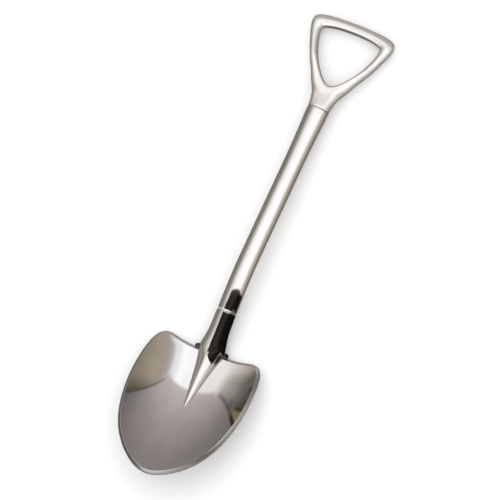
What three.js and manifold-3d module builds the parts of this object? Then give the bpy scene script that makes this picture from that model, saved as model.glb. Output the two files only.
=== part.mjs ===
// Detecting shovel: an all-steel digging shovel with a closed D-grip, a round tubular shaft,
// a cranked slit socket and a dished round-point blade with raised foot shoulders.
// Units are millimetres, +Z up. The shovel lies face up: +Y runs along the shaft to the grip,
// +X across the blade, and the origin is on the ground under the middle of the bounding box.
//
// Every piece is drawn in the shaft's own coordinates (x across, s down the shaft from the
// outer edge of the crossbar, z away from the digger), and place() lays it on the ground.
import * as THREE from "three";
import { mergeVertices } from "three/addons/utils/BufferGeometryUtils.js";
import Module from "manifold-3d";

// ---- driving dimensions -------------------------------------------------
const REST_TILT = 3.124; // degrees the shaft's grip end dips when the shovel lies on crossbar and heel
const LENGTH_MID = 358.07; // s of the middle of the bounding box along the ground
const LIFT = 8.605; // height of the shaft axis at s = 0 above the ground
const GAP = 0.3; // clearance between touching pieces

const SEAM_TOP = 137; // s of the joint between grip and shaft
const SEAM_LOW = 452; // s of the joint between shaft and socket
const GROOVE = 1.1; // chamfer on each side of a seam
const BORE_R = 12.4; // bore of the shaft tube
const SOCKET_BORE_R = 12.0;
const SOCKET_BORE_END = 477;
const SPIGOT_R = 12.0;
const SPIGOT_LOW_R = 11.4;
const GRIP_BORE_R = 9.3;
const GRIP_BORE_END = 117;
const PIN_R = 2.4;
const WELD_X = 20.4, WELD_S = 509.6, WELD_Z = -0.9, WELD = [5.4, 4.4, 3.6]; // weld bead: centre and half sizes
const RIDGE = 0.12; // how round the frog's ridge is

const PLATE = 2.2; // thickness of the blade plate
const RIM_BEVEL = 4.65; // how far the bevelled rim stands outside the dish's crest line
const RIM_DROP = 4.9; // how far it falls
const DISH_X = 83; // half width at which DISH_RISE is measured
const BLADE_MID = 600; // s of the middle of the blade's grid

// Shaft axis: drop below the straight shaft line against s.
const AXIS = [
  [-40, 0], [0, 0], [200, 0], [360, 0], [385, -0.5], [409, -3.2], [430, -7.1], [452, -12.0],
  [470, -16.3], [485, -20.0], [500, -23.9], [512, -26.6], [524, -27.9], [540, -27.0],
];
// Shaft tube radius against s.
const TUBE_R = [
  [137, 15.85], [145, 15.85], [156, 15.55], [170, 15.05], [186, 14.6], [205, 14.25],
  [240, 14.15], [400, 14.15], [452, 14.3],
];
// Socket and its nose: s, half width, height above and below the widest level.
const SOCKET = [
  [452, 14.3, 14.3, 14.3], [462, 14.45, 14.4, 14.3], [472, 14.7, 14.5, 13.9], [482, 15.2, 14.6, 13.1],
  [491, 16.5, 14.8, 12.2], [499, 18.1, 14.9, 11.3], [507, 19.4, 15.2, 10.2], [515, 18.4, 15.7, 8.9],
  [525, 15.9, 14.8, 7.3], [537, 13.3, 13.2, 5.4], [549, 11.0, 11.4, 3.6], [560, 9.1, 9.4, 2.2],
  [571, 7.1, 7.2, 1.2], [581, 5.3, 5.2, 0.8], [590, 3.5, 3.3, 0.6], [597, 1.7, 1.5, 0.5],
];
// Blade plate: height of its middle line, and how far it rises at DISH_X.
const DISH_BASE = [
  [496, -28.8], [518, -28.3], [548, -26.3], [575, -23.6], [600, -19.5], [640, -8.6], [680, 8.6], [716, 31.5],
];
const DISH_RISE = [[496, 14.2], [518, 17.2], [548, 21.0], [600, 25.2], [640, 28.2], [680, 32.5], [716, 36]];
// Right half of the blade's outer edge, x and s, from the socket round the shoulder to the point.
const OUTLINE = [
  [0, 509.8], [20, 510.2], [36, 510.0], [52, 508.0], [64, 506.2], [73, 508.6], [79.6, 515.8],
  [83.6, 526], [86.3, 540], [87.8, 556], [88.3, 573], [87.5, 592], [85.0, 612], [80.6, 632],
  [74.4, 650], [66.0, 667], [55.2, 682], [41.6, 696], [28.0, 706.2], [14.2, 713.2], [0, 716.0],
];
// D-grip bar: middle line x and s, half width in the plane, half height out of the plane.
const RING = [
  [0, 8.75, 7.45, 9.1], [16, 9.1, 7.55, 9.1], [31, 10.2, 7.9, 9.0], [44.5, 12.4, 9.1, 8.7], [54.6, 15.4, 13.0, 8.4],
  [53.6, 26.5, 7.9, 7.9], [50.9, 36, 6.6, 7.7], [47.0, 47.5, 6.3, 7.6], [41.9, 60, 6.1, 7.6],
  [35.4, 72.5, 6.1, 7.7], [28.2, 84.0, 6.5, 7.9],
];
// Neck of the grip: s, half width, half height.
const NECK = [
  [112, 20.9, 12.2], [118.5, 18.6, 13.5], [125, 17.0, 14.7], [132, 16.15, 15.6], [141, 15.85, 15.85],
];

const STEEL = { color: 0xb9b6b3, metalness: 1.0, roughness: 0.12 };
const STEEL_DULL = { color: 0x8f8d8b, metalness: 1.0, roughness: 0.4 };

// ---- helpers --------------------------------------------------------------
const DEG = Math.PI / 180;
const CT = Math.cos(REST_TILT * DEG), ST = Math.sin(REST_TILT * DEG);
const place = (x, s, z) => [x, -(s - LENGTH_MID) * CT + z * ST, s * ST + z * CT + LIFT];

// Natural cubic spline through knots [s, value].
function spline(knots, column = 1) {
  const n = knots.length, xs = knots.map((k) => k[0]), ys = knots.map((k) => k[column]);
  const m = new Array(n).fill(0), u = new Array(n).fill(0);
  for (let i = 1; i < n - 1; i++) {
    const sig = (xs[i] - xs[i - 1]) / (xs[i + 1] - xs[i - 1]), p = sig * m[i - 1] + 2;
    m[i] = (sig - 1) / p;
    const d = (ys[i + 1] - ys[i]) / (xs[i + 1] - xs[i]) - (ys[i] - ys[i - 1]) / (xs[i] - xs[i - 1]);
    u[i] = ((6 * d) / (xs[i + 1] - xs[i - 1]) - sig * u[i - 1]) / p;
  }
  for (let i = n - 2; i >= 0; i--) m[i] = m[i] * m[i + 1] + u[i];
  return (x) => {
    let i = 0;
    while (i < n - 2 && x > xs[i + 1]) i++;
    const h = xs[i + 1] - xs[i], a = (xs[i + 1] - x) / h, b = (x - xs[i]) / h;
    if (x < xs[0]) return ys[0] + ((ys[1] - ys[0]) / h - (h * m[1]) / 6) * (x - xs[0]);
    if (x > xs[n - 1]) return ys[n - 1] + ((ys[n - 1] - ys[n - 2]) / h + (h * m[n - 2]) / 6) * (x - xs[n - 1]);
    return a * ys[i] + b * ys[i + 1] + (((a * a * a - a) * m[i] + (b * b * b - b) * m[i + 1]) * h * h) / 6;
  };
}
const axisZ = spline(AXIS), tubeR = spline(TUBE_R);
const socketA = spline(SOCKET, 1), socketU = spline(SOCKET, 2), socketL = spline(SOCKET, 3);
const dishBase = spline(DISH_BASE), dishRise = spline(DISH_RISE);
const dishZ = (x, s) => {
  const q = (x / DISH_X) ** 2;
  return dishBase(s) + dishRise(s) * (0.8 * q + 0.2 * q * q);
};
// Level of the socket's widest line: the bent axis, then the blade's face.
const socketZ = (s) => {
  const t = Math.min(1, Math.max(0, (s - 500) / 30)), k = t * t * (3 - 2 * t);
  return axisZ(s) * (1 - k) + dishBase(s) * k;
};

// Geometry from rings of points (each [x, s, z] in shaft coordinates) with the two ends closed.
function loft(rings) {
  const n = rings[0].length, v = [], f = [];
  rings.forEach((r) => r.forEach((p) => v.push(...place(...p))));
  for (let i = 0; i < rings.length - 1; i++)
    for (let j = 0; j < n; j++) {
      const a = i * n + j, b = i * n + ((j + 1) % n), c = a + n, d = b + n;
      f.push(a, c, b, b, c, d);
    }
  for (const [k, flip] of [[0, false], [rings.length - 1, true]]) {
    const c = rings[k].reduce((s, p) => [s[0] + p[0] / n, s[1] + p[1] / n, s[2] + p[2] / n], [0, 0, 0]);
    const at = v.length / 3;
    v.push(...place(...c));
    for (let j = 0; j < n; j++) {
      const a = k * n + j, b = k * n + ((j + 1) % n);
      flip ? f.push(a, at, b) : f.push(b, at, a);
    }
  }
  return geometry(v, f);
}
function geometry(v, f) {
  const g = new THREE.BufferGeometry();
  g.setAttribute("position", new THREE.BufferAttribute(new Float32Array(v), 3));
  g.setIndex(f);
  return g;
}

const wasm = await Module();
wasm.setup();
function solid(g) {
  const c = g.clone();
  c.deleteAttribute("normal");
  c.deleteAttribute("uv");
  const m = mergeVertices(c, 1e-4);
  let idx = new Uint32Array(m.index.array);
  const make = () =>
    new wasm.Manifold(new wasm.Mesh({ numProp: 3, vertProperties: m.attributes.position.array, triVerts: idx }));
  let s = make();
  if (s.volume() < 0) {
    idx = idx.map((_, i) => idx[3 * Math.floor(i / 3) + (2 - (i % 3))]);
    s = make();
  }
  return s;
}
function mesh(name, s, look) {
  const m = s.getMesh(), n = m.numProp, v = [];
  for (let i = 0; i < m.numVert; i++) v.push(...m.vertProperties.subarray(i * n, i * n + 3));
  const g = geometry(v, Array.from(m.triVerts));
  g.computeVertexNormals();
  const out = new THREE.Mesh(g, new THREE.MeshStandardMaterial(look));
  out.name = name;
  return out;
}

// Round section rings along the bent shaft axis; rows are [s, radius].
function axisRings(rows, n = 28) {
  return rows.map(([s, r]) => {
    const d = (axisZ(s + 0.5) - axisZ(s - 0.5)), l = Math.hypot(1, d), z0 = axisZ(s);
    return Array.from({ length: n }, (_, j) => {
      const a = (2 * Math.PI * j) / n, c = r * Math.cos(a), h = r * Math.sin(a);
      return [c, s - (h * d) / l, z0 + h / l];
    });
  });
}
// A straight round bar between two points of the axis plane (s, z); rows are [t, radius] along it.
function bar(s0, z0, s1, z1, rows, n = 24) {
  const l = Math.hypot(s1 - s0, z1 - z0), ds = (s1 - s0) / l, dz = (z1 - z0) / l;
  return loft(rows.map(([t, r]) => Array.from({ length: n }, (_, j) => {
    const a = (2 * Math.PI * j) / n, c = r * Math.cos(a), h = r * Math.sin(a);
    return [c, s0 + ds * t - h * dz, z0 + dz * t + h * ds];
  })));
}

// ---- D-grip: a quad cage, smoothed -----------------------------------
function catmullClark({ v, f }) {
  const key = (a, b) => (a < b ? a + "_" + b : b + "_" + a);
  const add = (p, q, w = 1) => { p[0] += q[0] * w; p[1] += q[1] * w; p[2] += q[2] * w; };
  const fp = f.map((q) => { const c = [0, 0, 0]; q.forEach((i) => add(c, v[i], 1 / q.length)); return c; });
  const edges = new Map();
  f.forEach((q, k) => q.forEach((a, i) => {
    const b = q[(i + 1) % q.length], e = key(a, b);
    if (!edges.has(e)) edges.set(e, { a, b, faces: [] });
    edges.get(e).faces.push(k);
  }));
  const out = v.map(() => [0, 0, 0]), n = v.length;
  const fs = v.map(() => []), es = v.map(() => []);
  f.forEach((q, k) => q.forEach((a) => fs[a].push(k)));
  for (const e of edges.values()) { es[e.a].push(e); es[e.b].push(e); }
  v.forEach((p, i) => {
    const m = fs[i].length;
    fs[i].forEach((k) => add(out[i], fp[k], 1 / (m * m)));
    es[i].forEach((e) => { add(out[i], v[e.a], 1 / (m * m)); add(out[i], v[e.b], 1 / (m * m)); });
    add(out[i], p, (m - 3) / m);
  });
  fp.forEach((c) => out.push(c));
  const at = new Map();
  for (const [k, e] of edges) {
    const c = [0, 0, 0];
    add(c, v[e.a], 0.25); add(c, v[e.b], 0.25);
    e.faces.forEach((q) => add(c, fp[q], 0.25));
    at.set(k, out.length);
    out.push(c);
  }
  const g = [];
  f.forEach((q, k) => q.forEach((a, i) => {
    const b = q[(i + 1) % q.length], z = q[(i + q.length - 1) % q.length];
    g.push([a, at.get(key(a, b)), n + k, at.get(key(z, a))]);
  }));
  return { v: out, f: g };
}
// Moves every point of an all-quad cage onto the smooth surface that it converges to.
function onLimit({ v, f }) {
  const e = v.map(() => new Set()), d = v.map(() => []);
  f.forEach((q) => q.forEach((a, i) => {
    e[a].add(q[(i + 1) % 4]).add(q[(i + 3) % 4]);
    d[a].push(q[(i + 2) % 4]);
  }));
  const out = v.map((p, i) => {
    const n = d[i].length, w = n * (n + 5);
    return [0, 1, 2].map((k) => (n * n * p[k] + [...e[i]].reduce((t, j) => t + 4 * v[j][k], 0) + d[i].reduce((t, j) => t + v[j][k], 0)) / w);
  });
  return { v: out, f };
}
function gripCage() {
  const K = 1.108; // a cubic surface shrinks an eight-sided cage by this much
  const v = [], f = [];
  const put = (x, s, z) => v.push([x, s, z]) - 1;
  const side = { 1: [], "-1": [] };
  RING.forEach(([x, s, w, h], k) => {
    const a = RING[Math.max(0, k - 1)], b = RING[Math.min(RING.length - 1, k + 1)];
    let tx = b[0] - a[0], ts = b[1] - a[1];
    if (k === 0) ts = 0;
    const l = Math.hypot(tx, ts), nx = ts / l, ns = -tx / l; // points out of the D
    for (const m of k === 0 ? [1] : [1, -1])
      side[m].push(Array.from({ length: 8 }, (_, j) => {
        const c = Math.cos((j * Math.PI) / 4) * w * K, q = Math.sin((j * Math.PI) / 4) * h * K;
        return put(m * (x + nx * c), s + ns * c, q);
      }));
  });
  side[-1].unshift(side[1][0]);
  // crotch ring: the inner three points are shared by both legs
  const shared = [put(0, 110.5, 8.6), put(0, 106.4, 0), put(0, 110.5, -8.6)];
  for (const m of [1, -1]) {
    const p = (x, s, z) => put(m * x, s, z);
    side[m].push([
      p(29.2, 99.5, 0), p(25.6, 101.8, 7.6), p(15.0, 105.0, 10.4), shared[0], shared[1], shared[2],
      p(15.0, 105.0, -10.4), p(25.6, 101.8, -7.6),
    ]);
  }
  for (const m of [1, -1])
    for (let k = 0; k < side[m].length - 1; k++)
      for (let j = 0; j < 8; j++) {
        const A = side[m][k], B = side[m][k + 1], i = (j + 1) % 8;
        f.push(m > 0 ? [A[j], A[i], B[i], B[j]] : [A[j], B[j], B[i], A[i]]);
      }
  // neck rings of twelve points, counted from +x through the front
  const C = 1.047;
  const rings = NECK.map(([s, w, h]) => Array.from({ length: 12 }, (_, j) => {
    const a = (j * Math.PI) / 6;
    return put(Math.cos(a) * w * C, s, Math.sin(a) * h * C);
  }));
  const R = side[1].at(-1), L = side[-1].at(-1), N = rings[0];
  const right = [[R[0], N[0]], [R[1], N[1]], [R[2], N[2]], [R[3], N[3]]];
  const rightB = [[R[0], N[0]], [R[7], N[11]], [R[6], N[10]], [R[5], N[9]]];
  const left = [[L[0], N[6]], [L[1], N[5]], [L[2], N[4]], [L[3], N[3]]];
  const leftB = [[L[0], N[6]], [L[7], N[7]], [L[6], N[8]], [L[5], N[9]]];
  const strip = (rows, flip) => {
    for (let i = 0; i < rows.length - 1; i++) {
      const [a, b] = rows[i], [c, d] = rows[i + 1];
      f.push(flip ? [a, b, d, c] : [a, c, d, b]);
    }
  };
  strip(right, false); strip(rightB, true); strip(left, true); strip(leftB, false);
  for (let k = 0; k < rings.length - 1; k++)
    for (let j = 0; j < 12; j++) {
      const i = (j + 1) % 12;
      f.push([rings[k][j], rings[k][i], rings[k + 1][i], rings[k + 1][j]]);
    }
  // closed beyond the seam, where the neck is cut off square
  const last = rings.at(-1);
  const ext = last.map((i) => put(v[i][0], 152, v[i][2]));
  for (let j = 0; j < 12; j++) f.push([last[j], last[(j + 1) % 12], ext[(j + 1) % 12], ext[j]]);
  const c = put(0, 152, 0);
  for (let j = 0; j < 12; j += 2) f.push([ext[j], ext[(j + 1) % 12], ext[(j + 2) % 12], c]);
  return { v, f };
}
function grip() {
  const { v, f } = onLimit(catmullClark(gripCage()));
  const pos = v.flatMap((p) => place(...p)), idx = [];
  f.forEach(([a, b, c, d]) => idx.push(a, b, c, a, c, d));
  let g = solid(geometry(pos, idx));
  // square end with its chamfer, and the blind bore
  g = g.subtract(solid(bar(SEAM_TOP - GAP / 2, 0, 190, 0, [[0, 40], [50, 40]], 32)));
  const C0 = SEAM_TOP - GROOVE - 1.4, C1 = 15.85 + 1.4; // a 45 degree cone, clear of the neck where it starts
  const cone = solid(bar(C0, 0, 200, 0, [[0, C1], [4.5, C1 - 4.5]], 48));
  const collar = solid(bar(C0, 0, 200, 0, [[0.01, 22], [4.4, 22]], 48)).subtract(cone);
  g = g.subtract(collar);
  g = g.subtract(solid(bar(GRIP_BORE_END, 0, 200, 0, [[0, GRIP_BORE_R], [60, GRIP_BORE_R]], 24)));
  return g;
}

// ---- blade plate ------------------------------------------------------------
function bladeOutline(n) {
  // closed smooth curve through the right half and its mirror image, in n even steps of arc
  const half = OUTLINE, pts = [...half, ...half.slice(1, -1).reverse().map(([x, s]) => [-x, s])];
  const m = pts.length, fine = [];
  for (let i = 0; i < m; i++) {
    const [a, b, c, d] = [-1, 0, 1, 2].map((k) => pts[(i + k + m) % m]);
    for (let k = 0; k < 12; k++) {
      const t = k / 12;
      fine.push([0, 1].map((q) => 0.5 * (2 * b[q] + (c[q] - a[q]) * t + (2 * a[q] - 5 * b[q] + 4 * c[q] - d[q]) * t * t + (3 * b[q] - a[q] - 3 * c[q] + d[q]) * t * t * t)));
    }
  }
  const len = [0];
  fine.forEach((p, i) => { const q = fine[(i + 1) % fine.length]; len.push(len[i] + Math.hypot(q[0] - p[0], q[1] - p[1])); });
  const out = [];
  for (let i = 0; i < n; i++) {
    const l = (i / n) * len.at(-1);
    let k = 0;
    while (len[k + 1] < l) k++;
    const t = (l - len[k]) / (len[k + 1] - len[k]), p = fine[k], q = fine[(k + 1) % fine.length];
    out.push([p[0] + (q[0] - p[0]) * t, p[1] + (q[1] - p[1]) * t]);
  }
  return out;
}
// grow moves every face outwards by that much, for the slot that the socket clamps it in
function blade(n = 88, grow = 0) {
  const out = bladeOutline(n);
  const rows = [];
  const steps = [0.16, 0.36, 0.54, 0.7, 0.83, 0.93, 0.985];
  const at = (i, e) => { // e mm inside the outer edge, along its normal
    const p = out[i], a = out[(i + n - 1) % n], b = out[(i + 1) % n];
    let tx = b[0] - a[0], ts = b[1] - a[1];
    const l = Math.hypot(tx, ts);
    return [p[0] - (ts / l) * e, p[1] + (tx / l) * e];
  };
  const crest = out.map((_, i) => at(i, RIM_BEVEL));
  const mix = (c, k) => [c[0] * k, BLADE_MID + (c[1] - BLADE_MID) * k];
  for (const k of steps) rows.push(crest.map((c) => { const [x, s] = mix(c, k); return [x, s, dishZ(x, s) + grow]; }));
  rows.push(crest.map(([x, s]) => [x, s, dishZ(x, s) + grow]));
  const edge = (e, dz) => out.map((_, i) => { const [x, s] = at(i, RIM_BEVEL - e), c = crest[i]; return [x, s, dishZ(c[0], c[1]) - dz]; });
  rows.push(edge(1.6 + grow, 1.0 - grow), edge(RIM_BEVEL - 0.6 + grow, RIM_DROP - 0.9), edge(RIM_BEVEL + grow, RIM_DROP + 0.3), edge(RIM_BEVEL - 0.9, RIM_DROP + 1.1 + grow));
  rows.push(edge(0.6, RIM_DROP + 0.2 + grow));
  for (const k of [0.955, 0.88, 0.78, 0.64, 0.48, 0.3, 0.14])
    rows.push(crest.map((c) => { const [x, s] = mix(c, k); return [x, s, dishZ(x, s) - PLATE - grow]; }));
  return solid(loft(rows));
}

// ---- socket -----------------------------------------------------------------
function socketRings(stations, grow = 0, n = 32) {
  return stations.map((s) => {
    const d = socketZ(s + 0.5) - socketZ(s - 0.5), l = Math.hypot(1, d), z0 = socketZ(s);
    const a = Math.max(0.3, socketA(s) + grow), u = Math.max(0.3, socketU(s) + grow), w = Math.max(0.3, socketL(s) + grow);
    // below the blade's upper edge the round socket turns into the frog's ridge
    const b = Math.min(1, Math.max(0, (s - 503) / 26)), k = b * b * (3 - 2 * b), e = RIDGE;
    return Array.from({ length: n }, (_, j) => {
      const t = (2 * Math.PI * j) / n, c = a * Math.cos(t);
      let h = (Math.sin(t) > 0 ? u : w) * Math.sin(t);
      if (Math.sin(t) > 0) {
        const q = Math.min(1, (Math.hypot(Math.cos(t), e) - e) / (Math.hypot(1, e) - e));
        h = h * (1 - k) + u * (1 - q ** 1.2) ** 0.62 * k;
      }
      return [c, s - (h * d) / l, z0 + h / l];
    });
  });
}
function socket() {
  const S0 = SEAM_LOW + GAP / 2;
  const st = [S0, 458, 465, 472, 479, 486, 493, 500, 507, 514, 521, 528, 536, 544, 552, 560, 568, 576, 584, 591, 596, 599];
  const rings = socketRings(st);
  const small = socketRings([S0]).map((r) => r.map(([x, s, z]) => [x * 0.923, s, socketZ(S0) + (z - socketZ(S0)) * 0.923]));
  rings[0] = socketRings([S0 + GROOVE])[0];
  let g = solid(loft([small[0], ...rings]));
  const z0 = axisZ(SEAM_LOW), z1 = axisZ(SOCKET_BORE_END);
  const dz = (z1 - z0) / (SOCKET_BORE_END - SEAM_LOW), s0 = SEAM_LOW - 10;
  g = g.subtract(solid(bar(s0, z0 - dz * 10, SOCKET_BORE_END, z1, [[0, SOCKET_BORE_R], [Math.hypot(1, dz) * (SOCKET_BORE_END - s0), SOCKET_BORE_R]], 24)));
  g = g.subtract(blade(88, GAP));
  // keep only the socket itself: slivers left inside the plate are dropped
  const parts = g.decompose();
  return parts.reduce((a, b) => (b.volume() > a.volume() ? b : a));
}

// ---- shaft tube -------------------------------------------------------------
function shaft() {
  const S0 = SEAM_TOP + GAP / 2, S1 = SEAM_LOW - GAP / 2;
  const st = [145, 156, 170, 186, 205, 300, 370, 388, 400, 412, 422, 432, 442];
  const outer = [[S0, tubeR(S0) - GROOVE], [S0 + GROOVE, tubeR(S0)], ...st.map((s) => [s, tubeR(s)]), [S1 - GROOVE, tubeR(S1)], [S1, tubeR(S1) - GROOVE]];
  const o = axisRings(outer), inner = axisRings([[S0 - 6, BORE_R], ...[200, 300, 370, 388, 400, 412, 422, 432, 442].map((s) => [s, BORE_R]), [S1 + 6, BORE_R]]);
  return solid(loft(o)).subtract(solid(loft(inner)));
}

// ---- joint pieces -----------------------------------------------------------
function pin(s, depth, under) {
  // flush cross pin from the back: runs up from the surface, `under` below the axis
  const z = axisZ(s) - under;
  return { s, z0: z, z1: z + depth };
}
function rivet(s, length) {
  // flush rivet from the back: through the tongue and the plate, blind in the nose
  const z = socketZ(s) - socketL(s) + 0.2;
  return { s, z0: z, z1: z + length };
}
const pins = {
  grip_pin: pin(127, 9.0, 15.0),
  shaft_top_pin: pin(153, 9.0, 15.45),
  shaft_low_pin: pin(441, 8.0, 14.45),
  socket_pin: pin(463.5, 8.0, 14.45),
  blade_rivet_upper: rivet(520.5, 12.5),
  blade_rivet_lower: rivet(541, 9.0),
};
const pinSolid = (p, grow = 0) =>
  solid(loft([p.z0 - (grow ? 6 : 0), p.z1 + (grow ? GAP : 0)].map((z) => Array.from({ length: 20 }, (_, j) => {
    const a = (2 * Math.PI * j) / 20, r = PIN_R + grow;
    return [r * Math.cos(a), p.s + r * Math.sin(a), z];
  }))));

function upperSpigot() {
  const step = SEAM_TOP + 1.4;
  return solid(bar(GRIP_BORE_END + 0.6, 0, 300, 0, [
    [0, 7.6], [1.2, GRIP_BORE_R - GAP], [step - GRIP_BORE_END - 0.6, GRIP_BORE_R - GAP],
    [step - GRIP_BORE_END - 0.59, SPIGOT_R], [50, SPIGOT_R], [52, SPIGOT_R - 2],
  ]));
}
function lowerSpigot() {
  const a = 430, b = 473, z0 = axisZ(a) - 0.05, z1 = axisZ(b) - 0.05, l = Math.hypot(b - a, z1 - z0);
  return solid(bar(a, z0, b, z1, [[0, SPIGOT_LOW_R - 2], [2, SPIGOT_LOW_R], [l - 2, SPIGOT_LOW_R], [l, SPIGOT_LOW_R - 2]]));
}

// Weld bead in the corner between the socket's flank and the blade's top edge; side is 1 or -1.
function weld(side) {
  const ball = mergeVertices((() => { const g = new THREE.SphereGeometry(1, 20, 14); g.deleteAttribute("normal"); g.deleteAttribute("uv"); return g; })(), 1e-4);
  const p = ball.attributes.position, v = [];
  for (let i = 0; i < p.count; i++) v.push(...place(side * WELD_X + p.getX(i) * WELD[0], WELD_S + p.getY(i) * WELD[1], socketZ(WELD_S) + WELD_Z + p.getZ(i) * WELD[2]));
  const st = [480, 486, 493, 500, 507, 514, 521, 528, 536];
  const body = solid(geometry(v, Array.from(ball.index.array)))
    .subtract(solid(loft(socketRings(st, GAP)))).subtract(blade(88, GAP));
  return body.decompose().reduce((a, b) => (b.volume() > a.volume() ? b : a));
}

// ---- assembly ---------------------------------------------------------------
const hole = (name) => pinSolid(pins[name], GAP);
const group = new THREE.Group();
group.add(mesh("d_grip", grip().subtract(hole("grip_pin")), STEEL));
group.add(mesh("upper_spigot", upperSpigot().subtract(hole("grip_pin")).subtract(hole("shaft_top_pin")), STEEL_DULL));
group.add(mesh("shaft_tube", shaft().subtract(hole("shaft_top_pin")).subtract(hole("shaft_low_pin")), STEEL));
group.add(mesh("lower_spigot", lowerSpigot().subtract(hole("shaft_low_pin")).subtract(hole("socket_pin")), STEEL_DULL));
group.add(mesh("blade_socket", socket().subtract(hole("socket_pin")).subtract(hole("blade_rivet_upper")).subtract(hole("blade_rivet_lower")), STEEL));
group.add(mesh("blade", blade().subtract(hole("blade_rivet_upper")).subtract(hole("blade_rivet_lower")), STEEL));
group.add(mesh("weld_left", weld(-1), STEEL));
group.add(mesh("weld_right", weld(1), STEEL));
for (const name of Object.keys(pins)) group.add(mesh(name, pinSolid(pins[name]), STEEL_DULL));

export default group;
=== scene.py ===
import math

import bmesh
import bpy
import numpy as np
from mathutils import Matrix, Vector


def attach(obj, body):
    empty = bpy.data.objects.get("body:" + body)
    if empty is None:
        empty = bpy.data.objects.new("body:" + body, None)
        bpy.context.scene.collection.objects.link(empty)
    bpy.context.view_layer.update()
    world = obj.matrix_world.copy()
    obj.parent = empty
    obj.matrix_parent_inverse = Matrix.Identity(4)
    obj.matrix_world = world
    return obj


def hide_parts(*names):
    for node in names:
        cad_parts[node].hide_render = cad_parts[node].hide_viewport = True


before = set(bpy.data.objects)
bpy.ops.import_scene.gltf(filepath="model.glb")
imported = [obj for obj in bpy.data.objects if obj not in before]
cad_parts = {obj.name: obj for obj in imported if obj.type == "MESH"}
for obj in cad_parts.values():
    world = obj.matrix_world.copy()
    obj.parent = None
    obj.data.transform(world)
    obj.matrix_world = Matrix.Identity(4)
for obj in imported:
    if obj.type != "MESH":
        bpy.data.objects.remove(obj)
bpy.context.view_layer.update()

# ---------------------------------------------------------------- dimensions (mm, shaft coordinates x, s, z)
REST_TILT = math.radians(3.124)
LENGTH_MID = 358.07
LIFT = 8.605
CT, ST = math.cos(REST_TILT), math.sin(REST_TILT)
SEAM_TOP, SEAM_LOW = 137.0, 452.0
GAP = 0.3
GROOVE = 1.25
LOW_LONG, LOW_DEEP = 2.2, 1.3  # the wider chamfer at the shaft's lower end
PLATE = 2.2
RIM_BEVEL, RIM_DROP = 4.65, 4.9
DISH_X = 83.0
BLADE_MID = 600.0

AXIS = [(-40, 0), (0, 0), (200, 0), (360, 0), (385, -0.5), (409, -3.2), (430, -7.1), (452, -12.0),
        (470, -16.3), (485, -20.0), (500, -23.9), (512, -26.6), (524, -27.9), (540, -27.0)]
TUBE_R = [(137, 15.85), (145, 15.85), (156, 15.55), (170, 15.05), (186, 14.6), (205, 14.25),
          (240, 14.15), (400, 14.15), (452, 14.3)]
SOCKET = [(452, 14.3, 14.3, 14.3), (462, 14.45, 14.4, 14.3), (472, 14.7, 14.5, 13.9), (482, 15.2, 14.6, 13.1),
          (491, 16.5, 14.8, 12.2), (499, 18.1, 14.9, 11.3), (507, 19.4, 15.2, 10.2), (515, 18.4, 15.7, 8.9),
          (525, 15.9, 14.8, 7.3), (537, 13.3, 13.2, 5.4), (549, 11.0, 11.4, 3.6), (560, 9.1, 9.4, 2.2),
          (571, 7.1, 7.2, 1.2), (581, 5.3, 5.2, 0.8), (590, 3.5, 3.3, 0.6), (597, 1.7, 1.5, 0.5)]
DISH_BASE = [(496, -28.8), (518, -28.3), (548, -26.3), (575, -23.6), (600, -19.5), (640, -8.6), (680, 8.6), (716, 31.5)]
DISH_RISE = [(496, 14.2), (518, 17.2), (548, 21.0), (600, 25.2), (640, 28.2), (680, 32.5), (716, 36)]
OUTLINE = [(0, 509.8), (20, 510.2), (36, 510.0), (52, 508.0), (64, 506.2), (73, 508.6), (79.6, 515.8),
           (83.6, 526), (86.3, 540), (87.8, 556), (88.3, 573), (87.5, 592), (85.0, 612), (80.6, 632),
           (74.4, 650), (66.0, 667), (55.2, 682), (41.6, 696), (28.0, 706.2), (14.2, 713.2), (0, 716.0)]
RING = [(0, 8.75, 7.45, 9.1), (16, 9.1, 7.55, 9.1), (31, 10.2, 7.9, 9.0), (44.5, 12.4, 9.1, 8.7), (54.6, 15.4, 13.0, 8.4),
        (53.6, 26.5, 7.9, 7.9), (50.9, 36, 6.6, 7.7), (47.0, 47.5, 6.3, 7.6), (41.9, 60, 6.1, 7.6),
        (35.4, 72.5, 6.1, 7.7), (28.2, 84.0, 6.5, 7.9)]
CROTCH = [(29.2, 99.5, 0), (25.6, 101.8, 7.6), (15.0, 105.0, 10.4), (0, 110.5, 8.6), (0, 106.4, 0)]
NECK = [(112, 20.9, 12.2), (118.5, 18.6, 13.5), (125, 17.0, 14.7)]
RIDGE = 0.12
WELD_X, WELD_S, WELD_Z, WELD = 20.4, 509.6, -0.9, (5.4, 4.4, 3.6)


# ---------------------------------------------------------------- helpers
def place(p):
    """Shaft coordinates in mm (n, 3) to the row frame in metres."""
    p = np.asarray(p, float)
    x, s, z = p[..., 0], p[..., 1], p[..., 2]
    return np.stack([x, -(s - LENGTH_MID) * CT + z * ST, s * ST + z * CT + LIFT], -1) / 1000.0


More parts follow.
